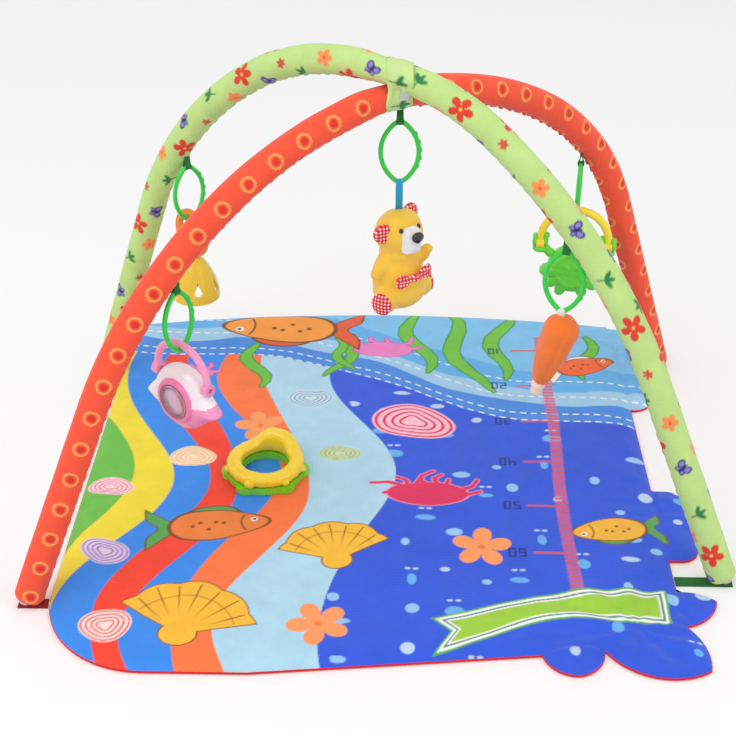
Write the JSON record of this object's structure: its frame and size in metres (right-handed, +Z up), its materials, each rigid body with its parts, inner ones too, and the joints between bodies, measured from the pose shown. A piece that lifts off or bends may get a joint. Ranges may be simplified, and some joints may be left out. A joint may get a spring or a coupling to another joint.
{
  "type": "activity play gym",
  "caption": "Padded play mat with crossed fabric-covered arches that carry linked hanging toys, and a loose ring rattle lying on the mat.",
  "frame": {"origin": "on the floor, below the middle of the whole gym", "axes": "+X to the right, +Y towards the back, +Z up; the front edge with the petals faces -Y"},
  "size_m": [0.8793, 0.8179, 0.5899],
  "materials": {
    "cover": "printed soft polyester cover",
    "red_cloth": "plain woven polyester",
    "filling": "loose polyester wadding",
    "tab_red": "narrow woven webbing",
    "tab_green": "narrow woven webbing",
    "stud": "pressed steel snap fastener",
    "green_sleeve": "printed padded fabric sleeve",
    "orange_sleeve": "printed padded fabric sleeve",
    "rod": "extruded hollow plastic rod",
    "fitting": "moulded plastic",
    "green_strap": "soft fabric strap",
    "patch": "hook and loop tape",
    "webbing": "woven tape",
    "link": "bright moulded plastic",
    "blue_tape": "woven tape",
    "plush": "smooth stuffed plush",
    "white_plush": "smooth stuffed plush",
    "black": "glossy stitched-on bead",
    "gingham": "checked cotton",
    "orange_plastic": "moulded plastic",
    "yellow_plastic": "moulded plastic",
    "pink_plastic": "moulded plastic",
    "white_plastic": "moulded plastic",
    "clear_pink": "clear tinted plastic",
    "bead": "small coloured beads",
    "green_plastic": "moulded plastic",
    "carrot": "smooth stuffed plush",
    "carrot_tip": "smooth stuffed plush",
    "white_tape": "woven tape"
  },
  "bodies": {
    "mat": {"mat_backing": "red_cloth", "mat_filling": "filling", "mat_cover": "cover", "mat_binding": "red_cloth", "tab_front_left": "tab_red", "tab_front_right": "tab_green", "tab_back_left": "tab_red", "tab_back_right": "tab_green", "tab_studs": "stud"},
    "arches": {"green_sleeve": "green_sleeve", "green_leg_rods": "rod", "green_shoulder_rods": "rod", "green_crown_rod": "rod", "green_couplers": "fitting", "green_foot_caps": "fitting", "orange_sleeve": "orange_sleeve", "orange_leg_rods": "rod", "orange_shoulder_rods": "rod", "orange_crown_rod": "rod", "orange_couplers": "fitting", "orange_foot_caps": "fitting", "foot_sockets": "stud", "crossing_strap": "green_strap", "strap_patch": "patch", "loop_centre": "webbing", "loop_front_left": "webbing", "loop_front_right": "webbing", "loop_back_left": "webbing", "loop_back_right": "webbing"},
    "link_centre_body": {"link_centre": "link"},
    "link_front_left_body": {"link_front_left": "link"},
    "link_front_right_body": {"link_front_right": "link"},
    "link_back_left_body": {"link_back_left": "link"},
    "link_back_right_body": {"link_back_right": "link"},
    "bear": {"bear_strap": "blue_tape", "bear_body": "plush", "bear_muzzle": "white_plush", "bear_nose": "black", "bear_eyes": "black", "bear_ears": "gingham", "bear_bow": "gingham", "bear_foot_pads": "gingham"},
    "bell_ring_body": {"bell_ring": "orange_plastic"},
    "bell": {"bell_dome": "yellow_plastic"},
    "clapper": {"bell_clapper": "orange_plastic"},
    "fish_handle_body": {"fish_handle": "pink_plastic"},
    "fish": {"fish_back_shell": "white_plastic", "fish_belly_shell": "pink_plastic", "fish_drum": "clear_pink", "fish_beads": "bead"},
    "crab_handle_body": {"crab_handle": "yellow_plastic"},
    "crab": {"crab_body": "green_plastic", "crab_claws": "green_plastic"},
    "carrot": {"carrot_loop": "white_tape", "carrot_body": "carrot", "carrot_tip": "carrot_tip"},
    "ring_rattle": {"ring_rattle_top": "yellow_plastic", "ring_rattle_base": "green_plastic", "ring_rattle_beads": "orange_plastic"}
  },
  "joints": [
    {"name": "arches_lift", "type": "slide", "parent": "mat", "child": "arches", "axis": [0, 0, 1], "range_m": [0, 0.3]},
    {"name": "link_centre_swing", "type": "hinge", "parent": "arches", "child": "link_centre_body", "pos_m": [0.01995, 0.00368, 0.49869], "axis": [1, 0, 0], "range_deg": [-20, 20]},
    {"name": "link_front_left_swing", "type": "hinge", "parent": "arches", "child": "link_front_left_body", "pos_m": [-0.23348, -0.16587, 0.35881], "axis": [0.5592, 0.829, 0], "range_deg": [-20, 20]},
    {"name": "link_front_right_swing", "type": "hinge", "parent": "arches", "child": "link_front_right_body", "pos_m": [0.21263, -0.11936, 0.39058], "axis": [0.9397, -0.342, 0], "range_deg": [-20, 20]},
    {"name": "link_back_left_swing", "type": "hinge", "parent": "arches", "child": "link_back_left_body", "pos_m": [-0.25987, 0.14614, 0.37621], "axis": [0.7193, 0.6947, 0], "range_deg": [-20, 8]},
    {"name": "link_back_right_swing", "type": "hinge", "parent": "arches", "child": "link_back_right_body", "pos_m": [0.26128, 0.16515, 0.3769], "axis": [0.1736, 0.9848, 0], "range_deg": [-20, 20]},
    {"name": "bear_swing", "type": "hinge", "parent": "link_centre_body", "child": "bear", "pos_m": [0.01995, 0.00368, 0.42169], "axis": [1, 0, 0], "range_deg": [-20, 20]},
    {"name": "bell_ring_swing", "type": "hinge", "parent": "link_back_left_body", "child": "bell_ring_body", "pos_m": [-0.25987, 0.14614, 0.2992], "axis": [0.7193, 0.6947, 0], "range_deg": [-20, 8]},
    {"name": "bell_swing", "type": "hinge", "parent": "bell_ring_body", "child": "bell", "pos_m": [-0.25987, 0.14614, 0.251], "axis": [-0.6947, 0.7193, 0], "range_deg": [-15, 15]},
    {"name": "clapper_swing", "type": "hinge", "parent": "bell", "child": "clapper", "pos_m": [-0.25987, 0.14614, 0.23505], "axis": [0.7193, 0.6947, 0], "range_deg": [-15, 15]},
    {"name": "fish_handle_swing", "type": "hinge", "parent": "link_front_left_body", "child": "fish_handle_body", "pos_m": [-0.23348, -0.16587, 0.28181], "axis": [0.5592, 0.829, 0], "range_deg": [-20, 20]},
    {"name": "fish_pivot", "type": "hinge", "parent": "fish_handle_body", "child": "fish", "pos_m": [-0.23348, -0.16587, 0.24261], "axis": [0.788, -0.6157, 0], "range_deg": [-40, 40]},
    {"name": "crab_handle_swing", "type": "hinge", "parent": "link_back_right_body", "child": "crab_handle_body", "pos_m": [0.26128, 0.16515, 0.2999], "axis": [0.1736, 0.9848, 0], "range_deg": [-20, 20]},
    {"name": "crab_pivot", "type": "hinge", "parent": "crab_handle_body", "child": "crab", "pos_m": [0.26128, 0.16515, 0.2567], "axis": [0.9903, -0.1392, 0], "range_deg": [-40, 40]},
    {"name": "carrot_swing", "type": "hinge", "parent": "link_front_right_body", "child": "carrot", "pos_m": [0.21263, -0.11936, 0.31358], "axis": [0.9397, -0.342, 0], "range_deg": [-20, 20]},
    {"name": "ring_rattle_lift", "type": "slide", "parent": "mat", "child": "ring_rattle", "axis": [0, 0, 1], "range_m": [0, 0.1]}
  ]
}
